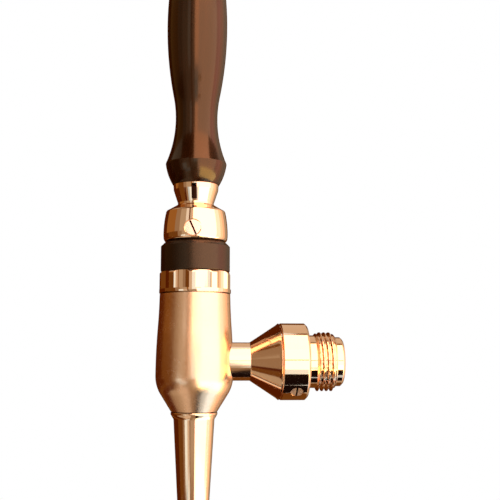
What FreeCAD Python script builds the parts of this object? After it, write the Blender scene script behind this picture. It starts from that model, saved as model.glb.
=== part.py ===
import FreeCAD
import Part
import Sketcher
import math
import os
import re

# Beer tap for a fixed inlet: a turned body with a tapered spout below it, a conical inlet with
# a flow control on its side, and a rocking lever on top that lifts the valve off its seat.
# +X runs along the inlet towards the supply, +Z is up, and the origin is the middle of the
# inlet thread. Sizes are millimetres; heights are counted from the inlet's axis, and "along"
# sizes from the tap's upright axis.

SIZES = {
    # How far the lever is turned about the tap's upright axis
    "lever_swing_angle": -6.5,
    # Body
    "body_bottom": -19.2,
    "foot_radius": 9,
    "foot_height": 0.8,
    "bend_start_radius": 12.72,
    "bend_start": -13,
    "bend_radius": 13.4,
    "body_radius": 15.02,
    "body_widest": -6,
    "flank_lower_radius": 260,
    "waist_radius": 14.42,
    "waist_height": 12,
    "flank_upper_radius": 230,
    "body_top_radius": 13.77,
    "body_top": 26.1,
    "spigot_radius": 11.6,
    "spigot_height": 4.9,
    "chamber_radius": 10,
    "chamber_floor": -6.5,
    "seat_height": -10.5,
    "seat_radius": 7.2,
    "throat_radius": 4.6,
    "socket_depth": 6.4,
    # Fits
    "thread_play": 0.05,
    "running_play": 0.05,
    "seal_play": 0.02,
    # Fluted nut
    "nut_gap": 0.3,
    "nut_radius": 14,
    "nut_corner": 1,
    "nut_lip": 2,
    "nut_lip_bore": 9.3,
    "flute_count": 10,
    "flute_cutter": 8,
    "flute_depth": 1,
    "flute_rim": 1.4,
    "flute_angle": -6,
    # Rocker ring
    "ring_radius": 13.55,
    "ring_height": 12.3,
    "ring_flat_radius": 11.3,
    "ring_chamfer": 2.2,
    "ring_foot_bevel": 0.5,
    # Valve guide
    "guide_radius": 8,
    "guide_flange": 1.6,
    "guide_flange_radius": 11.2,
    "guide_top_gap": 0.5,
    "skirt_depth": 11,
    "skirt_play": 0.05,
    "spring_room_radius": 7.2,
    "spring_room_depth": 3.4,
    "guide_seal_drop": 5,
    "spindle_seal_drop": 9,
    # Seals
    "guide_seal_section": 0.85,
    "spindle_seal_section": 0.9,
    "nozzle_seal_section": 0.6,
    "housing_seal_section": 0.55,
    "screw_seal_section": 0.36,
    "seal_side_room": 0.35,
    # Spindle and its valve
    "spindle_radius": 3,
    "spindle_boss_radius": 4.2,
    "spindle_boss_top": 7.5,
    "valve_disc_radius": 6,
    "valve_disc": 1.7,
    "valve_neck": 3,
    "seat_washer_radius": 6.4,
    "seat_washer": 3,
    "stud_radius": 2,
    "washer_nut_height": 2.4,
    "washer_nut_radius": 3.6,
    "ball_radius": 6,
    "ball_drop": 4.1,
    "pivot_rise": 3.95,
    # Return spring
    "spring_washer": 1,
    "spring_washer_radius": 6.6,
    "spring_wire": 0.6,
    "spring_radius": 5.3,
    "spring_turns": 6,
    # Rocker cap
    "cap_cavity_play": 0.3,
    "cap_roof_room": 0.4,
    "cap_rim_radius": 12.15,
    "cap_rim_bevel": 0.8,
    "cap_rim_inset": 0.1,
    "cap_radius": 12.65,
    "cap_widest": 2.4,
    "cap_side_radius": 42,
    "cap_shoulder_radius": 11.7,
    "cap_shoulder": 11.4,
    "cap_corner_radius": 1.1,
    "cap_corner_inset": 0.75,
    "cap_corner_height": 0.75,
    "cap_top": 14.3,
    "cap_top_radius": 7.3,
    "lever_stud_radius": 4,
    "lever_stud": 20.2,
    # Pivot screw
    "screw_radius": 2,
    "screw_head_radius": 2.95,
    "screw_head": 2,
    "recess_radius": 3.35,
    "recess_floor": 10.2,
    "screw_reach": 11,
    "slot_width": 0.7,
    "slot_depth": 0.8,
    "slot_angle": 114,
    # Ferrule, insert and handle
    "ferrule_radius": 7.1,
    "ferrule_neck": 0.9,
    "ferrule_height": 8.1,
    "ferrule_land_radius": 8.8,
    "ferrule_land": 2.1,
    "ferrule_top_radius": 8.95,
    "spanner_slot_width": 2.1,
    "spanner_slot_height": 5.9,
    "spanner_slot_drop": 0.6,
    "spanner_slot_depth": 3,
    "insert_radius": 5.6,
    "insert_ridge": 0.4,
    "insert_ridge_length": 2.8,
    "insert_length": 14,
    "insert_room": 2,
    "handle_foot_radius": 9.1,
    "heel_radius": 22,
    "ridge_rise": 8.55,
    "grip_waist_radius": 8.33,
    "grip_waist_rise": 27,
    "grip_hollow_radius": 47,
    "grip_belly_radius": 12.2,
    "grip_belly_rise": 65,
    "grip_swell_radius": 150,
    "grip_dome_rise": 97,
    # Nozzle
    "nozzle_spigot_radius": 6.5,
    "nozzle_spigot": 6.2,
    "collar_land": 0.9,
    "collar_chamfer": 1.9,
    "nozzle_top_radius": 7.87,
    "nozzle_end_radius": 4.3,
    "nozzle_length": 64.8,
    "nozzle_bore_radius": 3.4,
    "nozzle_funnel": 2.2,
    "nozzle_lip": 0.3,
    "nozzle_seal_drop": 3,
    # Inlet neck and cone
    "neck_radius": 7.4,
    "neck_seat": 12.95,
    "neck_spigot_radius": 5.9,
    "neck_spigot": 2.3,
    "neck_bore": 4.6,
    "neck_end": 21.4,
    "cone_end": 31.45,
    "cone_radius": 14,
    "cone_lip": 1.1,
    "cone_bore_radius": 9.6,
    "tail_socket_radius": 10.6,
    "tail_socket": 2.9,
    # Inlet tail
    "collar_radius": 14.9,
    "joint_groove": 0.6,
    "joint_groove_depth": 0.8,
    "collar_end": 43.6,
    "collar_bevel": 0.9,
    "collar_front_bevel": 0.25,
    "relief_radius": 10.2,
    "relief": 2.9,
    "thread_radius": 11.455,
    "thread": 8,
    "nose_radius": 9.55,
    "nose": 3.2,
    "nose_bevel": 0.9,
    "tail_bore": 7.2,
    "tail_bore_depth": 50,
    "inlet_bore": 6,
    # Compensator
    "compensator_tip": 19.4,
    "compensator_tip_radius": 1.6,
    "compensator_gap": 1.5,
    "compensator_shoulder": 28,
    "compensator_stem": 4,
    "compensator_tail": 46.5,
    "rib_width": 1.2,
    "rib_root": 1,
    "rib_count": 4,
    "front_rib_start": 31,
    "rear_rib_start": 42,
    "rib_length": 4,
    "groove_collar_radius": 5.2,
    "groove_collar": 4.8,
    "pin_groove_floor": 3.5,
    "pin_groove_play": 0.2,
    # Flow screw
    "flow_screw_along": 38.7,
    "flow_screw_angle": 51,
    "flow_screw_radius": 2.45,
    "flow_screw_sink": 0.25,
    "flow_flange_radius": 3.1,
    "flow_flange_start": 7.4,
    "flow_flange": 1.3,
    "flow_pin_radius": 0.8,
    "flow_pin_offset": 1.2,
    "flow_pin_tip": 4.4,
    "flow_seal_drop": 3.05,
    "flow_slot_width": 0.7,
    "flow_slot_depth": 0.7,
}

# Places that follow from the sizes above, each written once
PLACES = {
    "reach": "relief_end + thread / 2",
    "spigot_top": "body_top + spigot_height",
    "socket_top": "body_bottom + socket_depth",
    "nut_bottom": "body_top + nut_gap",
    "nut_thread_bore": "spigot_radius + thread_play",
    "flange_top": "spigot_top + guide_flange",
    "nut_top": "flange_top + nut_lip",
    "ring_top": "nut_top + ring_height",
    "guide_top": "ring_top - guide_top_gap",
    "skirt_radius": "chamber_radius - skirt_play",
    "skirt_bottom": "spigot_top - skirt_depth",
    "spring_roof": "skirt_bottom + spring_room_depth",
    "spindle_bore": "spindle_radius + running_play",
    "pivot_height": "ring_top + pivot_rise",
    "ball_bottom": "pivot_height - ball_drop",
    "washer_top": "seat_height + seat_washer",
    "disc_top": "washer_top + valve_disc",
    "spring_seat": "spindle_boss_top + spring_washer",
    "cavity_radius": "ball_radius + cap_cavity_play",
    "cavity_top": "pivot_height + ball_radius + cap_roof_room",
    "cap_roof": "ring_top + cap_top",
    "cap_corner": "ring_top + cap_shoulder",
    "ferrule_top": "cap_roof + ferrule_height",
    "grip_waist": "ferrule_top + grip_waist_rise",
    "grip_belly": "ferrule_top + grip_belly_rise",
    "grip_dome": "ferrule_top + grip_dome_rise",
    "ridge_height": "ferrule_top + ridge_rise",
    "ridge_radius": "grip_waist_radius + grip_hollow_radius"
    " - sqrt(grip_hollow_radius ^ 2 - (grip_waist - ridge_height) ^ 2)",
    "swell_centre": "grip_swell_radius - grip_belly_radius",
    "grip_rise": "grip_belly - grip_waist",
    "grip_spread": "swell_centre + grip_waist_radius + grip_hollow_radius",
    "grip_span": "sqrt(grip_rise ^ 2 + grip_spread ^ 2)",
    "blend_height": "grip_waist + grip_hollow_radius * grip_rise / grip_span",
    "blend_radius": "grip_waist_radius + grip_hollow_radius * (1 - grip_spread / grip_span)",
    "dome_span": "sqrt(swell_centre ^ 2 + (grip_dome - grip_belly) ^ 2)",
    "dome_radius": "grip_swell_radius - dome_span",
    "dome_edge_radius": "dome_radius * swell_centre / dome_span",
    "dome_edge": "grip_dome + dome_radius * (grip_dome - grip_belly) / dome_span",
    "nozzle_top": "body_bottom + nozzle_spigot",
    "nozzle_shoulder": "body_bottom - collar_land",
    "nozzle_taper_top": "nozzle_shoulder - collar_chamfer",
    "nozzle_end": "body_bottom - nozzle_length",
    "nozzle_seal_height": "body_bottom + nozzle_seal_drop",
    "socket_radius": "nozzle_spigot_radius + thread_play",
    "neck_start": "neck_seat - neck_spigot",
    "joint_face": "cone_end + cone_lip",
    "socket_floor": "joint_face - tail_socket",
    "tail_start": "socket_floor + seal_side_room",
    "tail_spigot_radius": "tail_socket_radius - thread_play",
    "relief_end": "collar_end + relief",
    "thread_end": "relief_end + thread",
    "nose_end": "thread_end + nose",
    "housing_seal_place": "joint_face - housing_seal_section - 2 * seal_side_room",
    "cone_slope": "(cone_bore_radius - neck_bore) / (socket_floor - neck_end)",
    "compensator_front": "neck_bore - compensator_gap",
    "compensator_edge": "compensator_front + cone_slope * (compensator_shoulder - neck_end)",
    "groove_half": "flow_pin_radius + pin_groove_play",
    "rib_radius": "tail_bore - running_play",
    "screw_bore": "screw_radius + running_play",
    "flow_hole": "flow_screw_radius + running_play",
    "flow_head": "collar_radius - flow_screw_sink",
    "flow_seal_place": "flow_head - flow_seal_drop",
    "flange_seat": "flow_flange_start + flow_flange",
    "insert_end": "ferrule_top + insert_length",
    "insert_socket": "insert_radius + insert_ridge + thread_play",
    "lever_stud_end": "cap_roof + lever_stud",
}

document = FreeCAD.newDocument("beer_tap")
sheet = document.addObject("Spreadsheet::Sheet", "Sizes")
for row, (word, number) in enumerate(SIZES.items(), start=1):
    sheet.set("A%d" % row, word)
    sheet.set("B%d" % row, str(number))
    sheet.setAlias("B%d" % row, word)
document.recompute()

TINY = 1e-6
subparts = []


def bound(text):
    """Spell an expression out over the sheet: a place in full, a size as its cell."""

    def spell(match):
        word = match.group(0)
        if word in PLACES:
            return "(" + bound(PLACES[word]) + ")"
        return "Sizes." + word if word in SIZES else word

    return re.sub(r"[A-Za-z_]\w*", spell, text)


def value(text):
    """The number that an expression gives with the sheet as it is."""
    return float(sheet.evalExpression(bound(text)))


def new_body(label):
    body = document.addObject("PartDesign::Body", label)
    body.Label = label
    subparts.append(body)
    return body


def place(thing, along="0", across="0", height="0", yaw="0", pitch="0", roll="0"):
    """Bind a sub-part's place; along counts from the tap's upright axis."""
    spot = "vector(%s; %s; %s)" % (bound("(%s) - reach" % along), bound(across), bound(height))
    turn = "rotation(%s; %s; %s)" % (bound(yaw), bound(pitch), bound(roll))
    thing.setExpression("Placement", "placement(%s; %s)" % (spot, turn))


def new_sketch(body, name, plane_role, offset="0"):
    """A sketch on one of the body's own planes, moved off it along the plane's normal."""
    plane = [item for item in body.Origin.OriginFeatures if item.Role == plane_role][0]
    sketch = body.newObject("Sketcher::SketchObject", name)
    sketch.AttachmentSupport = (plane, "")
    sketch.MapMode = "FlatFace"
    sketch.setExpression("AttachmentOffset.Base.z", bound(offset))
    return sketch


def pin_point(sketch, edge, end, across, up):
    """Hold one point of a sketch at its bound distances from the sketch's origin."""
    for kind, text in (("DistanceX", across), ("DistanceY", up)):
        if text == "0":
            axis = -2 if kind == "DistanceX" else -1
            sketch.addConstraint(Sketcher.Constraint("PointOnObject", edge, end, axis))
            continue
        number = sketch.addConstraint(Sketcher.Constraint(kind, -1, 1, edge, end, value(text)))
        sketch.setExpression("Constraints[%d]" % number, bound(text))


def arc_edge(start, end, radius, side):
    """The short arc between two points; side is 1 when it bulges to the left of its path."""
    chord = end - start
    middle = (start + end) * 0.5
    rise = math.sqrt(max(radius ** 2 - (chord.Length / 2) ** 2, 0))
    left = FreeCAD.Vector(-chord.y, chord.x, 0).normalize()
    centre = middle - left * (rise * side)
    crown = centre + left * (radius * side)
    return Part.Arc(start, crown, end)


def draw_outline(sketch, corners):
    """Join bound corners into a closed outline. A corner is (across, up), or
    (across, up, radius, side) where the edge that leaves it is an arc."""
    points = [FreeCAD.Vector(value(corner[0]), value(corner[1]), 0) for corner in corners]
    ends = []
    for number, corner in enumerate(corners):
        start = points[number]
        finish = points[(number + 1) % len(points)]
        if len(corner) == 2:
            edge = sketch.addGeometry(Part.LineSegment(start, finish), False)
            ends.append((edge, 1, 2))
            continue
        edge = sketch.addGeometry(arc_edge(start, finish, value(corner[2]), corner[3]), False)
        forward = (sketch.getPoint(edge, 1) - start).Length < (sketch.getPoint(edge, 2) - start).Length
        ends.append((edge, 1, 2) if forward else (edge, 2, 1))
    for number, corner in enumerate(corners):
        edge, start, finish = ends[number]
        following = ends[(number + 1) % len(ends)]
        sketch.addConstraint(
            Sketcher.Constraint("Coincident", edge, finish, following[0], following[1]))
        pin_point(sketch, edge, start, corner[0], corner[1])
        if len(corner) == 4:
            hold = Sketcher.Constraint("Radius", edge, value(corner[2]))
            number = sketch.addConstraint(hold)
            sketch.setExpression("Constraints[%d]" % number, bound(corner[2]))


def draw_circle(sketch, across, up, radius):
    centre = FreeCAD.Vector(value(across), value(up), 0)
    edge = sketch.addGeometry(Part.Circle(centre, FreeCAD.Vector(0, 0, 1), value(radius)), False)
    pin_point(sketch, edge, 3, across, up)
    number = sketch.addConstraint(Sketcher.Constraint("Radius", edge, value(radius)))
    sketch.setExpression("Constraints[%d]" % number, bound(radius))


def draw_box(sketch, low_across, low_up, high_across, high_up):
    draw_outline(sketch, [
        (low_across, low_up),
        (high_across, low_up),
        (high_across, high_up),
        (low_across, high_up),
    ])


def revolve(body, sketch, axis="V_Axis", kind="PartDesign::Revolution", name="Turning"):
    turning = body.newObject(kind, name)
    turning.Profile = sketch
    turning.ReferenceAxis = (sketch, [axis])
    turning.Angle = 360
    document.recompute()
    return turning


def turned(label, corners, axis="V_Axis"):
    """A piece turned on a lathe. Corners are (radius, height) about an upright axis, and
    (along, radius) about the inlet's axis."""
    body = new_body(label)
    outline = new_sketch(body, label + "_outline", "XZ_Plane")
    draw_outline(outline, corners)
    revolve(body, outline, axis)
    return body


def cut(body, sketch, name, length=None, outward=True, both=False):
    """Cut a sketch out of a body, and make sure that the cut has removed something."""
    before = body.Shape.Volume
    pocket = body.newObject("PartDesign::Pocket", name)
    pocket.Profile = sketch
    pocket.Reversed = outward
    if length is None:
        pocket.Type = "ThroughAll"
    else:
        pocket.Type = "Length"
        pocket.setExpression("Length", bound(length))
    if both:
        pocket.Midplane = True
    document.recompute()
    if body.Shape.Volume > before - TINY:
        raise RuntimeError(name + " removes nothing")
    return pocket


def seal_ring(label, radius, place_up, section, axis="V_Axis"):
    """A round rubber ring about an upright axis, or about the inlet's axis."""
    body = new_body(label)
    outline = new_sketch(body, label + "_section", "XZ_Plane")
    if axis == "V_Axis":
        draw_circle(outline, radius, place_up, section)
    else:
        draw_circle(outline, place_up, radius, section)
    revolve(body, outline, axis)
    return body


# Body: one brass turning with the valve chamber, the seat and the spout's socket inside
tap_body = turned("tap_body", [
    ("foot_radius", "body_bottom"),
    ("foot_radius", "body_bottom + foot_height"),
    ("bend_start_radius", "bend_start", "bend_radius", -1),
    ("body_radius", "body_widest", "flank_lower_radius", -1),
    ("waist_radius", "waist_height", "flank_upper_radius", 1),
    ("body_top_radius", "body_top"),
    ("spigot_radius", "body_top"),
    ("spigot_radius", "spigot_top"),
    ("chamber_radius", "spigot_top"),
    ("chamber_radius", "chamber_floor"),
    ("seat_radius", "seat_height"),
    ("throat_radius", "seat_height"),
    ("throat_radius", "socket_top"),
    ("socket_radius", "socket_top"),
    ("socket_radius", "body_bottom"),
])
seat_sketch = new_sketch(tap_body, "inlet_spotface", "YZ_Plane", "neck_seat")
draw_circle(seat_sketch, "0", "0", "neck_radius + thread_play")
cut(tap_body, seat_sketch, "spotface")
port_sketch = new_sketch(tap_body, "inlet_port", "YZ_Plane")
draw_circle(port_sketch, "0", "0", "neck_spigot_radius + thread_play")
cut(tap_body, port_sketch, "port")
place(tap_body)

# Fluted nut: holds the valve guide down on the body's spigot
union_nut = turned("union_nut", [
    ("nut_radius", "nut_bottom"),
    ("nut_radius", "nut_top - nut_corner", "nut_corner", -1),
    ("nut_radius - nut_corner", "nut_top"),
    ("nut_lip_bore", "nut_top"),
    ("nut_lip_bore", "flange_top"),
    ("nut_thread_bore", "flange_top"),
    ("nut_thread_bore", "nut_bottom"),
])
flute_sketch = new_sketch(union_nut, "flute_outline", "XY_Plane", "nut_bottom + flute_rim")
draw_circle(flute_sketch, "nut_radius - flute_depth + flute_cutter", "0", "flute_cutter")
flute = cut(union_nut, flute_sketch, "flute")
flutes = union_nut.newObject("PartDesign::PolarPattern", "flutes")
flutes.Originals = [flute]
flutes.Axis = (flute_sketch, ["N_Axis"])
flutes.Angle = 360
flutes.setExpression("Occurrences", bound("flute_count"))
union_nut.Tip = flutes
place(union_nut, yaw="flute_angle")

# Rocker ring: black plastic, the flat top that the cap stands on and the edge it rocks over
rocker_ring = turned("rocker_ring", [
    ("ring_radius - ring_foot_bevel", "nut_top"),
    ("ring_radius", "nut_top + ring_foot_bevel"),
    ("ring_radius", "ring_top - ring_chamfer"),
    ("ring_flat_radius", "ring_top"),
    ("guide_radius + thread_play", "ring_top"),
    ("guide_radius + thread_play", "nut_top"),
])
place(rocker_ring)

# Valve guide: carries the spindle and its seal, and closes the chamber
valve_guide = turned("valve_guide", [
    ("spindle_bore", "guide_top"),
    ("guide_radius", "guide_top"),
    ("guide_radius", "flange_top"),
    ("guide_flange_radius", "flange_top"),
    ("guide_flange_radius", "spigot_top"),
    ("skirt_radius", "spigot_top"),
    ("skirt_radius", "skirt_bottom"),
    ("spring_room_radius", "skirt_bottom"),
    ("spring_room_radius", "spring_roof"),
    ("spindle_bore", "spring_roof"),
])


def seal_groove(body, name, inner, outer, middle, section, axis="V_Axis"):
    """A square groove for a seal ring, between two radii."""
    sketch = new_sketch(body, name + "_outline", "XZ_Plane")
    low = "%s - %s - seal_side_room" % (middle, section)
    high = "%s + %s + seal_side_room" % (middle, section)
    if axis == "V_Axis":
        draw_box(sketch, inner, low, outer, high)
    else:
        draw_box(sketch, low, inner, high, outer)
    before = body.Shape.Volume
    revolve(body, sketch, axis, "PartDesign::Groove", name)
    if body.Shape.Volume > before - TINY:
        raise RuntimeError(name + " removes nothing")


guide_seal_height = "spigot_top - guide_seal_drop"
guide_groove_floor = "chamber_radius - 2 * guide_seal_section - seal_play"
seal_groove(valve_guide, "guide_seal_groove", guide_groove_floor, "chamber_radius",
            guide_seal_height, "guide_seal_section")
spindle_seal_height = "guide_top - spindle_seal_drop"
spindle_groove_wall = "spindle_bore + 2 * spindle_seal_section + seal_play"
seal_groove(valve_guide, "spindle_seal_groove", "spindle_radius", spindle_groove_wall,
            spindle_seal_height, "spindle_seal_section")
place(valve_guide)

guide_seal = seal_ring("guide_seal", "chamber_radius - guide_seal_section - seal_play / 2",
                       guide_seal_height, "guide_seal_section")
place(guide_seal)
spindle_seal = seal_ring("spindle_seal", "spindle_bore + spindle_seal_section + seal_play / 2",
                         spindle_seal_height, "spindle_seal_section")
place(spindle_seal)

# Spindle: steel, with the valve at its foot and the ball head that the lever hangs on
spindle = turned("spindle", [
    ("0", "seat_height - washer_nut_height"),
    ("stud_radius", "seat_height - washer_nut_height"),
    ("stud_radius", "washer_top"),
    ("valve_disc_radius", "washer_top"),
    ("valve_disc_radius", "disc_top"),
    ("spindle_boss_radius", "disc_top + valve_neck"),
    ("spindle_boss_radius", "spindle_boss_top"),
    ("spindle_radius", "spindle_boss_top"),
    ("spindle_radius", "ball_bottom"),
    ("sqrt(ball_radius ^ 2 - ball_drop ^ 2)", "ball_bottom", "ball_radius", -1),
    ("ball_radius", "pivot_height", "ball_radius", -1),
    ("0", "pivot_height + ball_radius"),
])
eye_sketch = new_sketch(spindle, "eye_outline", "XZ_Plane")
draw_circle(eye_sketch, "0", "pivot_height", "screw_bore")
cut(spindle, eye_sketch, "eye", both=True)
place(spindle, yaw="lever_swing_angle")

# Valve: a rubber washer under the spindle's disc, held by a nut that passes the throat
seat_washer = turned("seat_washer", [
    ("stud_radius + thread_play", "seat_height"),
    ("seat_washer_radius", "seat_height"),
    ("seat_washer_radius", "washer_top"),
    ("stud_radius + thread_play", "washer_top"),
])
place(seat_washer)

nut_blank = document.addObject("Part::Prism", "washer_nut_blank")
nut_blank.Polygon = 6
nut_blank.setExpression("Circumradius", bound("washer_nut_radius"))
nut_blank.setExpression("Height", bound("washer_nut_height"))
nut_hole = document.addObject("Part::Cylinder", "washer_nut_hole")
nut_hole.setExpression("Radius", bound("stud_radius + thread_play"))
nut_hole.setExpression("Height", bound("washer_nut_height"))
washer_nut = document.addObject("Part::Cut", "washer_nut")
washer_nut.Base = nut_blank
washer_nut.Tool = nut_hole
washer_nut.Label = "washer_nut"
subparts.append(washer_nut)
place(washer_nut, height="seat_height - washer_nut_height")

# Return spring and the washer that carries it on the spindle's boss
spring_washer = turned("spring_washer", [
    ("spindle_bore", "spindle_boss_top"),
    ("spring_washer_radius", "spindle_boss_top"),
    ("spring_washer_radius", "spring_seat"),
    ("spindle_bore", "spring_seat"),
])
place(spring_washer)

return_spring = new_body("return_spring")
wire_sketch = new_sketch(return_spring, "wire_section", "XZ_Plane")
draw_circle(wire_sketch, "spring_radius", "spring_seat + spring_wire", "spring_wire")
coil = return_spring.newObject("PartDesign::AdditiveHelix", "coil")
coil.Profile = wire_sketch
coil.ReferenceAxis = (wire_sketch, ["V_Axis"])
coil.Mode = "height-turns-growth"
coil.setExpression("Height", bound("spring_roof - spring_seat - 2 * spring_wire"))
coil.setExpression("Turns", bound("spring_turns"))
place(return_spring)

# Rocker cap: the turned brass head of the lever, with the stud that the handle screws on
rocker_cap = turned("rocker_cap", [
    ("cavity_radius", "ring_top"),
    ("cap_rim_radius", "ring_top"),
    ("cap_radius - cap_rim_inset", "ring_top + cap_rim_bevel"),
    ("cap_radius", "ring_top + cap_widest", "cap_side_radius", -1),
    ("cap_shoulder_radius", "cap_corner", "cap_corner_radius", -1),
    ("cap_shoulder_radius - cap_corner_inset", "cap_corner + cap_corner_height"),
    ("cap_top_radius", "cap_roof"),
    ("lever_stud_radius", "cap_roof"),
    ("lever_stud_radius", "lever_stud_end"),
    ("0", "lever_stud_end"),
    ("0", "cavity_top"),
    ("cavity_radius", "cavity_top"),
])
recess_sketch = new_sketch(rocker_cap, "recess_outline", "XZ_Plane", "recess_floor")
draw_circle(recess_sketch, "0", "pivot_height", "recess_radius")
cut(rocker_cap, recess_sketch, "recess")
pivot_sketch = new_sketch(rocker_cap, "pivot_outline", "XZ_Plane", "-screw_reach")
draw_circle(pivot_sketch, "0", "pivot_height", "screw_bore")
cut(rocker_cap, pivot_sketch, "pivot_hole")
place(rocker_cap, yaw="lever_swing_angle")

# Pivot screw: shouldered and slotted, across the cap and through the spindle's eye
pivot_screw = turned("pivot_screw", [
    ("0", "-screw_reach"),
    ("screw_radius", "-screw_reach"),
    ("screw_radius", "recess_floor"),
    ("screw_head_radius", "recess_floor"),
    ("screw_head_radius", "recess_floor + screw_head"),
    ("0", "recess_floor + screw_head"),
])


def slot(body, name, top, width, depth, length, turn="0"):
    """A screwdriver slot across the end of a screw."""
    sketch = new_sketch(body, name + "_outline", "XY_Plane", top)
    sketch.setExpression("AttachmentOffset.Rotation.Angle", bound(turn))
    draw_box(sketch, "-(%s)" % length, "-%s / 2" % width, length, "%s / 2" % width)
    cut(body, sketch, name, depth, outward=False)


slot(pivot_screw, "pivot_slot", "recess_floor + screw_head", "slot_width", "slot_depth",
     "2 * screw_head_radius", "slot_angle")
place(pivot_screw, height="pivot_height", yaw="lever_swing_angle", roll="90")

# Handle: a brass ferrule with a spanner slot, a threaded insert and a turned wooden grip
handle_ferrule = turned("handle_ferrule", [
    ("lever_stud_radius + thread_play", "cap_roof"),
    ("ferrule_radius", "cap_roof"),
    ("ferrule_radius", "cap_roof + ferrule_neck"),
    ("ferrule_land_radius", "ferrule_top - ferrule_land"),
    ("ferrule_top_radius", "ferrule_top"),
    ("lever_stud_radius + thread_play", "ferrule_top"),
])
spanner_sketch = new_sketch(handle_ferrule, "spanner_slot_outline", "XZ_Plane",
                            "ferrule_top_radius - spanner_slot_depth")
draw_box(spanner_sketch, "-spanner_slot_width / 2",
         "ferrule_top - spanner_slot_drop - spanner_slot_height",
         "spanner_slot_width / 2", "ferrule_top - spanner_slot_drop")
cut(handle_ferrule, spanner_sketch, "spanner_slot")
place(handle_ferrule, yaw="lever_swing_angle")

handle_insert = turned("handle_insert", [
    ("lever_stud_radius + thread_play", "ferrule_top"),
    ("insert_radius + insert_ridge", "ferrule_top"),
    ("insert_radius + insert_ridge", "ferrule_top + insert_ridge_length"),
    ("insert_radius", "ferrule_top + insert_ridge_length"),
    ("insert_radius", "insert_end - insert_ridge_length"),
    ("insert_radius + insert_ridge", "insert_end - insert_ridge_length"),
    ("insert_radius + insert_ridge", "insert_end"),
    ("lever_stud_radius + thread_play", "insert_end"),
])
place(handle_insert, yaw="lever_swing_angle")

handle = turned("handle", [
    ("insert_socket", "ferrule_top"),
    ("handle_foot_radius", "ferrule_top", "heel_radius", -1),
    ("ridge_radius", "ridge_height", "grip_hollow_radius", 1),
    ("blend_radius", "blend_height", "grip_swell_radius", -1),
    ("dome_edge_radius", "dome_edge", "dome_radius", -1),
    ("0", "grip_dome + dome_radius"),
    ("0", "lever_stud_end + insert_room"),
    ("insert_socket", "lever_stud_end + insert_room"),
])
place(handle, yaw="lever_swing_angle")

# Nozzle: the tapered spout, with its seal in the body's socket
nozzle = turned("nozzle", [
    ("throat_radius", "nozzle_top"),
    ("nozzle_spigot_radius", "nozzle_top"),
    ("nozzle_spigot_radius", "body_bottom"),
    ("foot_radius", "body_bottom"),
    ("foot_radius", "nozzle_shoulder"),
    ("nozzle_top_radius", "nozzle_taper_top"),
    ("nozzle_end_radius", "nozzle_end + nozzle_lip"),
    ("nozzle_end_radius - nozzle_lip", "nozzle_end"),
    ("nozzle_bore_radius", "nozzle_end"),
    ("nozzle_bore_radius", "nozzle_top - nozzle_funnel"),
])
nozzle_groove_floor = "socket_radius - 2 * nozzle_seal_section - seal_play"
seal_groove(nozzle, "nozzle_seal_groove", nozzle_groove_floor, "socket_radius",
            "nozzle_seal_height", "nozzle_seal_section")
place(nozzle)
nozzle_seal = seal_ring("nozzle_seal", "socket_radius - nozzle_seal_section - seal_play / 2",
                        "nozzle_seal_height", "nozzle_seal_section")
place(nozzle_seal)

# Inlet neck: seated in the body's side, opening in a cone to the tail's socket
inlet_neck = turned("inlet_neck", [
    ("neck_start", "neck_bore"),
    ("neck_start", "neck_spigot_radius"),
    ("neck_seat", "neck_spigot_radius"),
    ("neck_seat", "neck_radius"),
    ("neck_end", "neck_radius"),
    ("cone_end", "cone_radius"),
    ("joint_face", "collar_radius"),
    ("joint_face", "tail_socket_radius"),
    ("socket_floor", "tail_socket_radius"),
    ("socket_floor", "cone_bore_radius"),
    ("neck_end", "neck_bore"),
], "H_Axis")
place(inlet_neck)

# Inlet tail: the collar with the flow screw, the supply thread and the sealing nose
inlet_tail = turned("inlet_tail", [
    ("tail_start", "tail_bore"),
    ("tail_start", "tail_spigot_radius"),
    ("joint_face", "tail_spigot_radius"),
    ("joint_face", "collar_radius - joint_groove_depth"),
    ("joint_face + joint_groove", "collar_radius - joint_groove_depth"),
    ("joint_face + joint_groove", "collar_radius - collar_front_bevel"),
    ("joint_face + joint_groove + collar_front_bevel", "collar_radius"),
    ("collar_end - collar_bevel", "collar_radius"),
    ("collar_end", "collar_radius - collar_bevel"),
    ("collar_end", "relief_radius"),
    ("relief_end", "relief_radius"),
    ("relief_end", "thread_radius"),
    ("thread_end", "thread_radius"),
    ("thread_end", "nose_radius"),
    ("nose_end - nose_bevel", "nose_radius"),
    ("nose_end", "nose_radius - nose_bevel"),
    ("nose_end", "inlet_bore"),
    ("tail_bore_depth", "inlet_bore"),
    ("tail_bore_depth", "tail_bore"),
], "H_Axis")
housing_groove_floor = "tail_socket_radius - 2 * housing_seal_section - seal_play"
seal_groove(inlet_tail, "housing_seal_groove", housing_groove_floor, "tail_socket_radius",
            "housing_seal_place", "housing_seal_section", "H_Axis")


def flow_bore(name, radius, start, length=None):
    """A hole in the tail along the flow screw's axis, from a distance off the inlet's axis."""
    plane = [item for item in inlet_tail.Origin.OriginFeatures if item.Role == "XY_Plane"][0]
    sketch = inlet_tail.newObject("Sketcher::SketchObject", name + "_outline")
    sketch.AttachmentSupport = (plane, "")
    sketch.MapMode = "FlatFace"
    outwards = "vector(%s; -(%s) * sin((90 + %s) * 1deg); (%s) * cos((90 + %s) * 1deg))" % (
        bound("flow_screw_along"), bound(start), bound("flow_screw_angle"),
        bound(start), bound("flow_screw_angle"))
    turn = "rotation(0; 0; %s)" % bound("90 + flow_screw_angle")
    sketch.setExpression("AttachmentOffset", "placement(%s; %s)" % (outwards, turn))
    draw_circle(sketch, "0", "0", radius)
    cut(inlet_tail, sketch, name, length)


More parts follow.
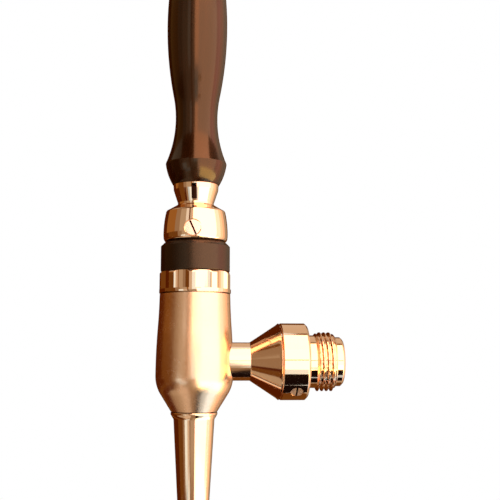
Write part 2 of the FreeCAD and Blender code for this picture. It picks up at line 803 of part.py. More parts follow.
flow_bore("flow_screw_hole", "flow_hole", "compensator_stem")
flow_bore("flow_flange_room", "flow_flange_radius + running_play", "compensator_stem",
          "flange_seat - compensator_stem")
place(inlet_tail)
housing_seal = seal_ring("housing_seal",
                         "tail_socket_radius - housing_seal_section - seal_play / 2",
                         "housing_seal_place", "housing_seal_section", "H_Axis")
place(housing_seal)

# Compensator: a cone that slides in the neck's cone and throttles the flow around it
compensator = turned("compensator", [
    ("compensator_tip", "0"),
    ("compensator_tip", "compensator_tip_radius"),
    ("neck_end", "compensator_front"),
    ("compensator_shoulder", "compensator_edge"),
    ("compensator_shoulder", "compensator_stem"),
    ("flow_screw_along - groove_collar / 2", "compensator_stem"),
    ("flow_screw_along - groove_collar / 2", "groove_collar_radius"),
    ("flow_screw_along - groove_half", "groove_collar_radius"),
    ("flow_screw_along - groove_half", "pin_groove_floor"),
    ("flow_screw_along + groove_half", "pin_groove_floor"),
    ("flow_screw_along + groove_half", "groove_collar_radius"),
    ("flow_screw_along + groove_collar / 2", "groove_collar_radius"),
    ("flow_screw_along + groove_collar / 2", "compensator_stem"),
    ("compensator_tail", "compensator_stem"),
    ("compensator_tail", "0"),
], "H_Axis")


def guide_ribs(name, start):
    """Ribs round the compensator's stem that keep it in the middle of the tail's bore."""
    sketch = new_sketch(compensator, name + "_outline", "YZ_Plane", start)
    draw_outline(sketch, [
        ("compensator_stem - rib_root", "-rib_width / 2"),
        ("sqrt(rib_radius ^ 2 - (rib_width / 2) ^ 2)", "-rib_width / 2", "rib_radius", -1),
        ("sqrt(rib_radius ^ 2 - (rib_width / 2) ^ 2)", "rib_width / 2"),
        ("compensator_stem - rib_root", "rib_width / 2"),
    ])
    rib = compensator.newObject("PartDesign::Pad", name)
    rib.Profile = sketch
    rib.setExpression("Length", bound("rib_length"))
    document.recompute()
    ribs = compensator.newObject("PartDesign::PolarPattern", name + "_ring")
    ribs.Originals = [rib]
    ribs.Axis = (sketch, ["N_Axis"])
    ribs.Angle = 360
    ribs.setExpression("Occurrences", bound("rib_count"))
    compensator.Tip = ribs
    document.recompute()


guide_ribs("front_ribs", "front_rib_start")
guide_ribs("rear_ribs", "rear_rib_start")
place(compensator)

# Flow screw: its offset pin stands in the compensator's groove and shifts it as it turns
flow_screw = turned("flow_screw", [
    ("0", "flow_flange_start"),
    ("flow_flange_radius", "flow_flange_start"),
    ("flow_flange_radius", "flange_seat"),
    ("flow_screw_radius", "flange_seat"),
    ("flow_screw_radius", "flow_head"),
    ("0", "flow_head"),
])
pin_sketch = new_sketch(flow_screw, "offset_pin_outline", "XY_Plane", "flow_pin_tip")
draw_circle(pin_sketch, "0", "-flow_pin_offset", "flow_pin_radius")
offset_pin = flow_screw.newObject("PartDesign::Pad", "offset_pin")
offset_pin.Profile = pin_sketch
offset_pin.setExpression("Length", bound("flange_seat - flow_pin_tip"))
document.recompute()
flow_groove_floor = "flow_hole - 2 * screw_seal_section - seal_play"
seal_groove(flow_screw, "flow_seal_groove", flow_groove_floor, "flow_hole",
            "flow_seal_place", "screw_seal_section")
slot(flow_screw, "flow_slot", "flow_head", "flow_slot_width", "flow_slot_depth",
     "2 * flow_screw_radius", "90")
place(flow_screw, along="flow_screw_along", roll="90 + flow_screw_angle")

flow_screw_seal = seal_ring("flow_screw_seal", "flow_hole - screw_seal_section - seal_play / 2",
                            "flow_seal_place", "screw_seal_section")
place(flow_screw_seal, along="flow_screw_along", roll="90 + flow_screw_angle")

document.recompute()
for item in document.Objects:
    if "Invalid" in item.State or "Error" in item.State:
        raise RuntimeError("%s failed: %s" % (item.Label, item.State))
os.makedirs("parts", exist_ok=True)
for item in subparts:
    shape = item.Shape
    if shape.isNull() or not shape.isValid():
        raise RuntimeError(item.Label + " has no valid shape")
    shape.exportStep("parts/%s.step" % item.Label)
    box = shape.BoundBox
    print("%-16s %d solid %9.1f mm3  x %7.2f..%7.2f  z %7.2f..%7.2f" % (
        item.Label, len(shape.Solids), shape.Volume, box.XMin, box.XMax, box.ZMin, box.ZMax))
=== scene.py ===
import math

import bmesh
import bpy
from mathutils import Matrix, Vector


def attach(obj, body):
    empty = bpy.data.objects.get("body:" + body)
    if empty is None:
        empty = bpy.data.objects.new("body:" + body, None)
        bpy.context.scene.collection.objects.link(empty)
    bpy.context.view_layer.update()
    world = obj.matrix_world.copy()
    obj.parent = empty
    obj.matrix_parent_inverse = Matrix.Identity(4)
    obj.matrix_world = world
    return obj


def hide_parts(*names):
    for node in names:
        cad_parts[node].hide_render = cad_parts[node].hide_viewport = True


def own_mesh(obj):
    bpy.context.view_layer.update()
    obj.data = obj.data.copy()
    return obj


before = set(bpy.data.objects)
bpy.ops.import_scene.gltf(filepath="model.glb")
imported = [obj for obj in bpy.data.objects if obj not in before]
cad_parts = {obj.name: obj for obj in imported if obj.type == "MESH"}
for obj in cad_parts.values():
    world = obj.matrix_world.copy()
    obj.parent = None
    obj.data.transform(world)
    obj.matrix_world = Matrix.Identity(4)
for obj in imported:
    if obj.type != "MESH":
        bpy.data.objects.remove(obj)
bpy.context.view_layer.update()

# Camera and frame of reference
# Lengths are in millimetres and are turned into metres with MM. TAP_AXIS is where the tap's
# upright axis stands, and the inlet's axis runs along X through the origin.
MM = 0.001
TAP_AXIS = -50.5

CAMERA_LENS = 63.16
CAMERA_SENSOR = 36
CAMERA_PLACE = (-59.77, -343.4, 1.0)
CAMERA_TURN = math.radians(5.13)
CAMERA_TILT = math.radians(7.08)
CAMERA_ROLL = math.radians(0.07)
CAMERA_NEAR = 10
CAMERA_FAR = 20000

camera_data = bpy.data.cameras.new("camera")
camera_data.lens = CAMERA_LENS
camera_data.sensor_width = CAMERA_SENSOR
camera_data.clip_start = CAMERA_NEAR * MM
camera_data.clip_end = CAMERA_FAR * MM
camera = bpy.data.objects.new("camera", camera_data)
bpy.context.scene.collection.objects.link(camera)
sight = Vector((
    math.sin(CAMERA_TURN) * math.cos(CAMERA_TILT),
    math.cos(CAMERA_TURN) * math.cos(CAMERA_TILT),
    math.sin(CAMERA_TILT),
))
roll = Matrix.Rotation(CAMERA_ROLL, 4, "Z").to_quaternion()
camera.rotation_mode = "QUATERNION"
camera.rotation_quaternion = sight.to_track_quat("-Z", "Y") @ roll
camera.location = Vector(CAMERA_PLACE) * MM
bpy.context.scene.camera = camera
bpy.context.scene.view_settings.view_transform = "Standard"

# Studio: a white room, one large soft lamp to the right, and reflector cards round the tap
# Its sizes are in metres. Places are degrees to the right of RIG_TURN and degrees upwards. Only
# the cards' reflections show, and each band lists its heights and its tones from left to right.
RIG_TURN = -1.5
RIG_RADIUS = 1.3
RIG_HEIGHT = 0.04
CARD_STEPS = 16
WORLD_FILL = 0.1
LAMP_TURN = 42
LAMP_RISE = 12
LAMP_DISTANCE = 1.4
LAMP_WIDTH = 2.2
LAMP_HEIGHT = 2.3
LAMP_STRENGTH = 0.5
LAMPLIGHT = (5.2, 2.8, 1.85)
GLOW = (6.5, 5, 2.4)
AMBER = (2.6, 1.3, 1.1)
EMBER = (1.9, 0.98, 0.66)
COPPER = (1.1, 0.7, 0.46)
CREAM = (1.15, 1.5, 1.8)
PALE = (1.05, 1.18, 1.2)
IVORY = (0.92, 0.86, 0.78)
SLATE = (0.6, 0.74, 0.84)
SAND = (0.72, 0.56, 0.42)
TAN = (0.5, 0.38, 0.26)
HAZEL = (0.34, 0.22, 0.13)
RUST = (0.34, 0.14, 0.03)
BROWN = (0.17, 0.06, 0.01)
UMBER = (0.09, 0.015, 0.001)
NIGHT = (0.01, 0.004, 0.003)
CARD_BANDS = {
    "high": ((34, 80), (
        (-180, -128, UMBER),
        (-128, -78, TAN),
        (-78, -12, BROWN),
        (-12, 66, LAMPLIGHT),
        (66, 110, HAZEL),
        (110, 180, SAND),
    )),
    "upper": ((7.5, 34), (
        (-180, -125, UMBER),
        (-125, -80, RUST),
        (-80, -60, HAZEL),
        (-60, -37, TAN),
        (-37, -26, IVORY),
        (-26, -21, BROWN),
        (-21, -10, SAND),
        (-10, 5, LAMPLIGHT),
    )),
    "level": ((-8, 7.5), (
        (-180, -112, UMBER),
        (-112, -66, BROWN),
        (-66, -50, HAZEL),
        (-50, -26, TAN),
        (-26, -21, RUST),
        (-21, -10, SAND),
        (-10, 5, PALE),
    )),
    "line": ((1.5, 4), (
        (5, 19, TAN),
    )),
    "low": ((-19, -8), (
        (-180, -100, UMBER),
        (-100, -66, BROWN),
        (-66, -54, HAZEL),
        (-54, -38, PALE),
        (-38, -25, SAND),
        (-25, -21, BROWN),
        (-21, 5, TAN),
    )),
    "lower": ((-25.5, -19), (
        (-180, -70, BROWN),
        (-70, -57, UMBER),
        (-57, -46, HAZEL),
        (-46, -36, SLATE),
        (-36, -24, PALE),
        (-24, 5, HAZEL),
    )),
    "glow": ((-38, -17.5), (
        (16, 98, GLOW),
    )),
    "table": ((-38, -25.5), (
        (-180, -72, UMBER),
        (-72, -62, BROWN),
        (-62, -50, HAZEL),
        (-50, -36, SAND),
        (-36, -24, TAN),
        (-24, -8, HAZEL),
        (-8, 8, TAN),
        (8, 16, PALE),
    )),
    "slope": ((-50, -38), (
        (-180, -112, UMBER),
        (-112, -98, HAZEL),
        (-98, -64, TAN),
        (-64, -22, SAND),
        (-22, 10, HAZEL),
        (10, 26, NIGHT),
        (26, 52, SLATE),
        (52, 100, CREAM),
    )),
    "below": ((-72, -50), (
        (-180, -112, UMBER),
        (-112, -88, HAZEL),
        (-88, -64, TAN),
        (-64, -22, SAND),
        (-22, 10, HAZEL),
        (10, 34, NIGHT),
        (34, 64, SLATE),
        (64, 100, CREAM),
    )),
    "under": ((-90, -72), (
        (-180, 180, NIGHT),
    )),
    "right": ((-72, 34), (
        (100, 114, EMBER),
        (114, 128, COPPER),
        (128, 150, TAN),
        (150, 180, BROWN),
    )),
    "edge": ((-17, 34), (
        (80, 100, AMBER),
    )),
}


def seen_directly(tree):
    """The ray node, and a node that is 1 on camera rays and in reflections."""
    rays = tree.nodes.new("ShaderNodeLightPath")
    seen = tree.nodes.new("ShaderNodeMath")
    seen.operation = "MAXIMUM"
    tree.links.new(rays.outputs["Is Camera Ray"], seen.inputs[0])
    tree.links.new(rays.outputs["Is Glossy Ray"], seen.inputs[1])
    return rays, seen


world = bpy.data.worlds.new("room")
bpy.context.scene.world = world
world.use_nodes = True
room = world.node_tree
room.nodes.clear()
room_rays, room_seen = seen_directly(room)
seen_through = room.nodes.new("ShaderNodeMath")
seen_through.operation = "MAXIMUM"
room.links.new(room_seen.outputs[0], seen_through.inputs[0])
room.links.new(room_rays.outputs["Is Transmission Ray"], seen_through.inputs[1])
room_level = room.nodes.new("ShaderNodeMapRange")
room_level.inputs["To Min"].default_value = WORLD_FILL
room_level.inputs["To Max"].default_value = 1
room.links.new(seen_through.outputs[0], room_level.inputs["Value"])
room_light = room.nodes.new("ShaderNodeBackground")
room_light.inputs["Color"].default_value = (1, 1, 1, 1)
room.links.new(room_level.outputs["Result"], room_light.inputs["Strength"])
room_out = room.nodes.new("ShaderNodeOutputWorld")
room.links.new(room_light.outputs[0], room_out.inputs["Surface"])


def towards(turn, rise):
    """Unit vector from the tap, by degrees to the right of the camera and degrees upwards."""
    angle = math.radians(turn + RIG_TURN - 90)
    height = math.radians(rise)
    return Vector((
        math.cos(angle) * math.cos(height),
        math.sin(angle) * math.cos(height),
        math.sin(height),
    ))


rig_centre = Vector((TAP_AXIS * MM, 0, RIG_HEIGHT))


def hang_card(name, left, right, low, high, colour):
    """A curved card on the rig, with one plain tone of its own."""
    bm = bmesh.new()
    start = bm.verts.new(rig_centre + towards(left, low) * RIG_RADIUS)
    sideways = towards(left + 90, 0)
    bmesh.ops.spin(bm, geom=[start], cent=rig_centre, axis=sideways, dvec=(0, 0, 0),
                   angle=-math.radians(high - low), steps=CARD_STEPS, use_merge=False)
    bmesh.ops.spin(bm, geom=bm.verts[:] + bm.edges[:], cent=rig_centre, axis=(0, 0, 1),
                   dvec=(0, 0, 0), angle=math.radians(right - left), steps=CARD_STEPS,
                   use_merge=False)
    mesh = bpy.data.meshes.new(name)
    bm.to_mesh(mesh)
    bm.free()
    card = bpy.data.objects.new(name, mesh)
    bpy.context.scene.collection.objects.link(card)
    tone = bpy.data.materials.new(name + "_tone")
    tone.use_nodes = True
    tone.node_tree.nodes.clear()
    shine = tone.node_tree.nodes.new("ShaderNodeEmission")
    shine.inputs["Color"].default_value = (*colour, 1)
    shine.inputs["Strength"].default_value = 1
    out = tone.node_tree.nodes.new("ShaderNodeOutputMaterial")
    tone.node_tree.links.new(shine.outputs[0], out.inputs["Surface"])
    mesh.materials.append(tone)
    card.visible_camera = False
    card.visible_diffuse = False


for band, (heights, band_cards) in CARD_BANDS.items():
    for number, (left, right, colour) in enumerate(band_cards):
        hang_card("card_%s_%d" % (band, number), left, right, *heights, colour)

lamp_data = bpy.data.lights.new("soft_lamp", "AREA")
lamp_data.shape = "RECTANGLE"
lamp_data.size = LAMP_WIDTH
lamp_data.size_y = LAMP_HEIGHT
lamp_data.color = LAMPLIGHT
lamp_data.energy = LAMP_STRENGTH * math.pi * LAMP_WIDTH * LAMP_HEIGHT
lamp = bpy.data.objects.new("soft_lamp", lamp_data)
bpy.context.scene.collection.objects.link(lamp)
lamp_way = towards(LAMP_TURN, LAMP_RISE)
lamp.location = rig_centre + lamp_way * LAMP_DISTANCE
lamp.rotation_mode = "QUATERNION"
lamp.rotation_quaternion = (-lamp_way).to_track_quat("-Z", "Y")

# Floor: plain and pale, far below the tap, which hangs on its supply
# It shows white to the camera and in reflections, as the room does, and is grey to other light.
FLOOR_DROP = 1.45
FLOOR_SIZE = 3
FLOOR_GREY = (0.85, 0.85, 0.85, 1)
bm = bmesh.new()
bmesh.ops.create_grid(bm, x_segments=2, y_segments=2, size=FLOOR_SIZE,
                      matrix=Matrix.Translation((TAP_AXIS * MM, 0, -FLOOR_DROP)))
floor_mesh = bpy.data.meshes.new("floor")
bm.to_mesh(floor_mesh)
bm.free()
floor = bpy.data.objects.new("floor", floor_mesh)
bpy.context.scene.collection.objects.link(floor)
floor_paint = bpy.data.materials.new("floor_paint")
floor_paint.use_nodes = True
floor_tree = floor_paint.node_tree
floor_tree.nodes.clear()
floor_seen = seen_directly(floor_tree)[1]
floor_diffuse = floor_tree.nodes.new("ShaderNodeBsdfDiffuse")
floor_diffuse.inputs["Color"].default_value = FLOOR_GREY
floor_white = floor_tree.nodes.new("ShaderNodeEmission")
floor_white.inputs["Color"].default_value = (1, 1, 1, 1)
floor_mix = floor_tree.nodes.new("ShaderNodeMixShader")
floor_tree.links.new(floor_seen.outputs[0], floor_mix.inputs[0])
floor_tree.links.new(floor_diffuse.outputs[0], floor_mix.inputs[1])
floor_tree.links.new(floor_white.outputs[0], floor_mix.inputs[2])
floor_out = floor_tree.nodes.new("ShaderNodeOutputMaterial")
floor_tree.links.new(floor_mix.outputs[0], floor_out.inputs["Surface"])
floor_mesh.materials.append(floor_paint)

# Tap body: one brass turning, satin outside, with the valve chamber and the spout's socket
# inside. The inlet's neck seats in a flat-bottomed bore in its side.
BODY_BOTTOM = -19.2
FOOT_RADIUS = 9
JOINT_CHAMFER = 0.22
JOINT_WIDTH = 0.3
BODY_ANKLE = (12.72, -13)
BODY_WIDEST = (15.02, -6)
BODY_WAIST = (14.42, 12)
BODY_TOP = (13.77, 26.1)
BEND_RADIUS = 13.4
FLANK_LOWER = 260
FLANK_UPPER = 230
SPIGOT_RADIUS = 11.6
SPIGOT_TOP = 31
CHAMBER_RADIUS = 10
CHAMBER_FLOOR = -6.5
SEAT_RADIUS = 7.2
SEAT_HEIGHT = -10.5
THROAT_RADIUS = 4.6
SOCKET_RADIUS = 6.55
SOCKET_TOP = -12.8
NECK_SEAT_RADIUS = 7.45
NECK_SEAT_START = 12.95
NECK_SEAT_LENGTH = 10
BEER_WAY_RADIUS = 5.95
BEER_WAY_LENGTH = 14
SATIN_COLOUR = (0.92, 0.64, 0.44)
SATIN_ROUGHNESS = 0.24
# Dark colour of joint lines, and of painted shade with some dirt in slots and round screw heads
SEAM_DIRT_AND_SHADE = (0.012, 0.006, 0.004, 1)
TONE_DRIFT = 0.955
TONE_GRAINS = (90, 90, 90)
POLISH_DRIFT = 0.15
POLISH_GRAINS = (700, 700, 700)
LINE_LENGTHS = 25
NOISE_LOW = 0.3
NOISE_HIGH = 0.7
EDGE_SOFTNESS = 0.12
SHARP_ANGLE = math.radians(28)
ARC_STEP_ANGLE = math.radians(4)
ARC_STEP_LENGTH = 2
MERGE_WITHIN = 1e-6
NO_LENGTH = 1e-7
UPRIGHT = ((TAP_AXIS * MM, 0, 0), (0, 0, 1))
INLET = ((0, 0, 0), (1, 0, 0))


def turned(corners, steps=160, about=UPRIGHT):
    """A lathe turning. Corners are (radius, height) about the upright axis, or (along, radius)
    about the inlet; (.., .., arc radius, side) starts an arc that bulges left (1) or right."""
    bm = bmesh.new()
    points = [Vector(((TAP_AXIS + corner[0]) * MM, 0, corner[1] * MM)) for corner in corners]
    first = bm.verts.new(points[0])
    last = first
    for number, corner in enumerate(corners):
        start = points[number]
        end = points[(number + 1) % len(points)]
        if len(corner) == 4:
            radius = corner[2] * MM
            side = corner[3]
            chord = end - start
            left = Vector((-chord.z, 0, chord.x)).normalized()
            rise = math.sqrt(max(radius ** 2 - (chord.length / 2) ** 2, 0))
            centre = (start + end) / 2 - left * rise * side
            sweep = 2 * math.asin(min(chord.length / 2 / radius, 1))
            bends = max(2, math.ceil(sweep / ARC_STEP_ANGLE),
                        math.ceil(chord.length / MM / ARC_STEP_LENGTH))
            done = bmesh.ops.spin(bm, geom=[last], cent=centre, axis=(0, 1, 0), dvec=(0, 0, 0),
                                  angle=sweep * side, steps=bends, use_merge=False)
            last = [item for item in done["geom_last"] if isinstance(item, bmesh.types.BMVert)][0]
        elif number < len(corners) - 1 or first is last:
            following = bm.verts.new(end)
            bm.edges.new((last, following))
            last = following
        else:
            bm.edges.new((last, first))
            last = first
    bmesh.ops.remove_doubles(bm, verts=bm.verts[:], dist=MERGE_WITHIN)
    axis_point, axis_way = about
    bmesh.ops.spin(bm, geom=bm.verts[:] + bm.edges[:], cent=axis_point, axis=axis_way,
                   dvec=(0, 0, 0), angle=2 * math.pi, steps=steps, use_merge=True)
    bmesh.ops.remove_doubles(bm, verts=bm.verts[:], dist=MERGE_WITHIN)
    bmesh.ops.dissolve_degenerate(bm, edges=bm.edges[:], dist=NO_LENGTH)
    bmesh.ops.recalc_face_normals(bm, faces=bm.faces[:])
    return bm


def soften(bm, width=EDGE_SOFTNESS):
    """Break every sharp edge with a small rounding."""
    sharp = [edge for edge in bm.edges
             if edge.is_manifold and edge.calc_face_angle() > SHARP_ANGLE]
    bmesh.ops.bevel(bm, geom=sharp, affect="EDGES", offset=width * MM, offset_type="OFFSET",
                    segments=2, profile=0.5, material=-1, clamp_overlap=True)


def mark_edges(mesh):
    """Shade a mesh smooth between its sharp edges."""
    mesh.shade_smooth()
    mesh.set_sharp_from_angle(angle=SHARP_ANGLE)


def fit_piece(name, bm, body, node, finish):
    """Make a piece from its mesh in work, in place of its CAD node."""
    mesh = bpy.data.meshes.new(name)
    bm.to_mesh(mesh)
    bm.free()
    mark_edges(mesh)
    piece = bpy.data.objects.new(name, mesh)
    bpy.context.scene.collection.objects.link(piece)
    mesh.materials.append(finish)
    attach(piece, body)
    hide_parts(node)
    return piece


def carve(piece, bm):
    """Take the shape of a mesh in work out of a piece."""
    tool_mesh = bpy.data.meshes.new("tool")
    bm.to_mesh(tool_mesh)
    bm.free()
    tool = bpy.data.objects.new("tool", tool_mesh)
    bpy.context.scene.collection.objects.link(tool)
    cutting = piece.modifiers.new("cut", "BOOLEAN")
    cutting.operation = "DIFFERENCE"
    cutting.solver = "EXACT"
    cutting.object = tool
    bpy.context.view_layer.update()
    done = bpy.data.meshes.new_from_object(
        piece.evaluated_get(bpy.context.evaluated_depsgraph_get()))
    piece.modifiers.clear()
    piece.data = done
    bpy.data.objects.remove(tool)
    mark_edges(done)


def bore(piece, radius, start, direction, length, steps=96):
    """Cut a round hole, from a point along a direction."""
    way = Vector(direction).normalized()
    bm = bmesh.new()
    middle = Vector(start) * MM + way * (length / 2 * MM)
    turn = way.to_track_quat("Z", "Y").to_matrix().to_4x4()
    bmesh.ops.create_cone(bm, cap_ends=True, segments=steps, radius1=radius * MM,
                          radius2=radius * MM, depth=length * MM,
                          matrix=Matrix.Translation(middle) @ turn)
    carve(piece, bm)


def even_normals(piece):
    """Let the large faces lead the shading, so that roundings look even."""
    shading = piece.modifiers.new("even_shading", "WEIGHTED_NORMAL")
    shading.keep_sharp = True
    shading.weight = 80


def new_finish(name):
    """An empty node material with its shader, and the piece's own coordinates."""
    finish = bpy.data.materials.new(name)
    finish.use_nodes = True
    tree = finish.node_tree
    tree.nodes.clear()
    out = tree.nodes.new("ShaderNodeOutputMaterial")
    shader = tree.nodes.new("ShaderNodeBsdfPrincipled")
    shader.name = "Principled BSDF"
    tree.links.new(shader.outputs["BSDF"], out.inputs["Surface"])
    place = tree.nodes.new("ShaderNodeTexCoord")
    return finish, tree, shader, place


def noise_on(tree, place, grains, detail):
    """Noise on the piece's own coordinates, with its own number of grains a metre each way."""
    spread = tree.nodes.new("ShaderNodeMapping")
    spread.inputs["Location"].default_value = (-TAP_AXIS * MM, 0, 0)
    spread.inputs["Scale"].default_value = grains
    tree.links.new(place.outputs["Object"], spread.inputs["Vector"])
    noise = tree.nodes.new("ShaderNodeTexNoise")
    noise.inputs["Scale"].default_value = 1
    noise.inputs["Detail"].default_value = detail
    tree.links.new(spread.outputs["Vector"], noise.inputs["Vector"])
    return noise


def between(tree, source, low, high):
    """Spread a noise's middle range over a range of values."""
    spread = tree.nodes.new("ShaderNodeMapRange")
    spread.inputs["From Min"].default_value = NOISE_LOW
    spread.inputs["From Max"].default_value = NOISE_HIGH
    spread.inputs["To Min"].default_value = low
    spread.inputs["To Max"].default_value = high
    tree.links.new(source.outputs[0], spread.inputs["Value"])
    return spread


def tones(tree, source, colours):
    """Lay two or more tones over a noise."""
    ramp = tree.nodes.new("ShaderNodeValToRGB")
    points = ramp.color_ramp.elements
    while len(points) < len(colours):
        points.new(0.5)
    for number, colour in enumerate(colours):
        share = number / (len(colours) - 1)
        points[number].position = NOISE_LOW + (NOISE_HIGH - NOISE_LOW) * share
        points[number].color = (*colour, 1)
    tree.links.new(source.outputs[0], ramp.inputs["Fac"])
    return ramp


def relief(tree, shader, source, depth, strength):
    """Raise a noise from the surface, by a depth in metres."""
    bump = tree.nodes.new("ShaderNodeBump")
    bump.inputs["Distance"].default_value = depth
    bump.inputs["Strength"].default_value = strength
    tree.links.new(source.outputs[0], bump.inputs["Height"])
    tree.links.new(bump.outputs["Normal"], shader.inputs["Normal"])


def turned_metal(name, colour, roughness, lines, line_depth, about=UPRIGHT):
    """Turned metal: a slight drift of tone and polish, and fine tool lines round the axis."""
    finish, tree, shader, place = new_finish(name)
    shader.inputs["Metallic"].default_value = 1
    tone = noise_on(tree, place, TONE_GRAINS, detail=2)
    darker = tuple(part * TONE_DRIFT for part in colour)
    drift = tones(tree, tone, (darker, colour))
    tree.links.new(drift.outputs["Color"], shader.inputs["Base Color"])
    smear = noise_on(tree, place, POLISH_GRAINS, detail=4)
    polish = between(tree, smear, roughness * (1 - POLISH_DRIFT), roughness * (1 + POLISH_DRIFT))
    tree.links.new(polish.outputs["Result"], shader.inputs["Roughness"])
    line_grains = [lines if part else LINE_LENGTHS for part in about[1]]
    tool_lines = noise_on(tree, place, line_grains, detail=2)
    relief(tree, shader, tool_lines, line_depth, strength=0.35)
    return finish


def darken(finish, mask):
    """Lay a dark colour over the parts of a metal finish where the mask is 1: dark joint lines,
    or painted shade with some dirt in slots and round screw heads.
    """
    tree = finish.node_tree
    shader = tree.nodes["Principled BSDF"]
    dirt_and_shade = tree.nodes.new("ShaderNodeMix")
    dirt_and_shade.data_type = "RGBA"
    tree.links.new(mask.outputs[0], dirt_and_shade.inputs[0])
    tree.links.new(shader.inputs["Base Color"].links[0].from_socket, dirt_and_shade.inputs[6])
    dirt_and_shade.inputs[7].default_value = SEAM_DIRT_AND_SHADE
    tree.links.new(dirt_and_shade.outputs[2], shader.inputs["Base Color"])


def joint_line(finish, height):
    """The dark line where two turned pieces meet, round the tap axis at one height."""
    tree = finish.node_tree
    place = tree.nodes.new("ShaderNodeTexCoord")
    parts = tree.nodes.new("ShaderNodeSeparateXYZ")
    tree.links.new(place.outputs["Object"], parts.inputs[0])
    near = tree.nodes.new("ShaderNodeMath")
    near.operation = "COMPARE"
    tree.links.new(parts.outputs["Z"], near.inputs[0])
    near.inputs[1].default_value = height * MM
    near.inputs[2].default_value = JOINT_WIDTH / 2 * MM
    darken(finish, near)


satin_brass = turned_metal("satin_brass", SATIN_COLOUR, SATIN_ROUGHNESS, lines=14000,
                           line_depth=8e-7)
joint_line(satin_brass, BODY_BOTTOM)
joint_line(satin_brass, BODY_TOP[1])
body_work = turned([
    (FOOT_RADIUS - JOINT_CHAMFER, BODY_BOTTOM),
    (FOOT_RADIUS, BODY_BOTTOM + JOINT_CHAMFER),
    (*BODY_ANKLE, BEND_RADIUS, -1),
    (*BODY_WIDEST, FLANK_LOWER, -1),
    (*BODY_WAIST, FLANK_UPPER, 1),
    BODY_TOP,
    (SPIGOT_RADIUS, BODY_TOP[1]),
    (SPIGOT_RADIUS, SPIGOT_TOP),
    (CHAMBER_RADIUS, SPIGOT_TOP),
    (CHAMBER_RADIUS, CHAMBER_FLOOR),
    (SEAT_RADIUS, SEAT_HEIGHT),
    (THROAT_RADIUS, SEAT_HEIGHT),
    (THROAT_RADIUS, SOCKET_TOP),
    (SOCKET_RADIUS, SOCKET_TOP),
    (SOCKET_RADIUS, BODY_BOTTOM),
], steps=192)
soften(body_work)
tap_body = fit_piece("tap_body_satin", body_work, "tap", "tap_body",
                     satin_brass)
bore(tap_body, NECK_SEAT_RADIUS, (TAP_AXIS + NECK_SEAT_START, 0, 0), INLET[1],
     NECK_SEAT_LENGTH)
bore(tap_body, BEER_WAY_RADIUS, (TAP_AXIS, 0, 0), INLET[1], BEER_WAY_LENGTH)
even_normals(tap_body)

# Inlet neck: a short polished brass neck that opens in a cone
# Its plain end is sealed and pressed into the body's side, and its rim meets the collar.
NECK_COLOUR = (0.93, 0.66, 0.46)
NECK_ROUGHNESS = 0.1
NECK_BORE = 4.6
NECK_START = 10.65
NECK_STEP = 12.95
NECK_PLUG_RADIUS = 5.9
NECK_RADIUS = 7.4
CONE_START = 21.4
CONE_END = (31.45, 14)
JOINT_FACE = 32.55
COLLAR_RADIUS = 14.9
CONE_SOCKET_RADIUS = 10.6
CONE_SOCKET_START = 29.65
CONE_MOUTH = 9.6
neck_brass = turned_metal("polished_neck_brass", NECK_COLOUR, NECK_ROUGHNESS, lines=6000,
                          line_depth=2e-6, about=INLET)
neck_work = turned([
    (NECK_START, NECK_BORE),
    (NECK_START, NECK_PLUG_RADIUS),
    (NECK_STEP, NECK_PLUG_RADIUS),
    (NECK_STEP, NECK_RADIUS),
    (CONE_START, NECK_RADIUS),
    CONE_END,
    (JOINT_FACE, COLLAR_RADIUS),
    (JOINT_FACE, CONE_SOCKET_RADIUS),
    (CONE_SOCKET_START, CONE_SOCKET_RADIUS),
    (CONE_SOCKET_START, CONE_MOUTH),
    (CONE_START, NECK_BORE),
], about=INLET)
soften(neck_work)
inlet_neck = fit_piece("inlet_neck_polished", neck_work, "tap", "inlet_neck",
                       neck_brass)
even_normals(inlet_neck)

# Inlet tail: the collar with the flow screw, the supply thread and the plain sealing nose
# It is one brass turning with a real single-start thread, and plugs into the neck's cone.
TAIL_START = 30
TAIL_END = 57.7
TAIL_BORE = 7.2
PLUG_RADIUS = 10.55
GROOVE_WIDTH = 0.6
GROOVE_DEPTH = 0.8
COLLAR_EDGE = 0.25
COLLAR_CHAMFER = 0.9
COLLAR_END = 43.6
RELIEF_END = 46.5
THREAD_END = 54.5
THREAD_CREST = 11.455
THREAD_ROOT = 10.24
THREAD_PITCH = 1.814
THREAD_FADE = 1.0
THREAD_SHARPNESS = 0.62
THREAD_ROWS = 88
THREAD_MARGIN = 0.01
OUTSIDE_RADIUS = 10
NOSE_RADIUS = 9.55
NOSE_CHAMFER = 0.9
NOSE_BORE = 6
NOSE_STEP = 50
TAIL_ROUGHNESS = 0.06
FLOW_SCREW_ALONG = 38.7
FLOW_SCREW_DIP = math.radians(51)
FLOW_BORE_RADIUS = 2.5
FLOW_BORE_LENGTH = 20
tail_work = turned([
    (TAIL_START, TAIL_BORE),
    (TAIL_START, PLUG_RADIUS),
    (JOINT_FACE, PLUG_RADIUS),
    (JOINT_FACE, COLLAR_RADIUS - GROOVE_DEPTH),
    (JOINT_FACE + GROOVE_WIDTH, COLLAR_RADIUS - GROOVE_DEPTH),
    (JOINT_FACE + GROOVE_WIDTH, COLLAR_RADIUS - COLLAR_EDGE),
    (JOINT_FACE + GROOVE_WIDTH + COLLAR_EDGE, COLLAR_RADIUS),
    (COLLAR_END - COLLAR_CHAMFER, COLLAR_RADIUS),
    (COLLAR_END, COLLAR_RADIUS - COLLAR_CHAMFER),
    (COLLAR_END, THREAD_ROOT),
    (RELIEF_END, THREAD_ROOT),
    (THREAD_END, THREAD_ROOT),
    (THREAD_END, NOSE_RADIUS),
    (TAIL_END - NOSE_CHAMFER, NOSE_RADIUS),
    (TAIL_END, NOSE_RADIUS - NOSE_CHAMFER),
    (TAIL_END, NOSE_BORE),
    (NOSE_STEP, NOSE_BORE),
    (NOSE_STEP, TAIL_BORE),
], steps=180, about=INLET)
soften(tail_work)
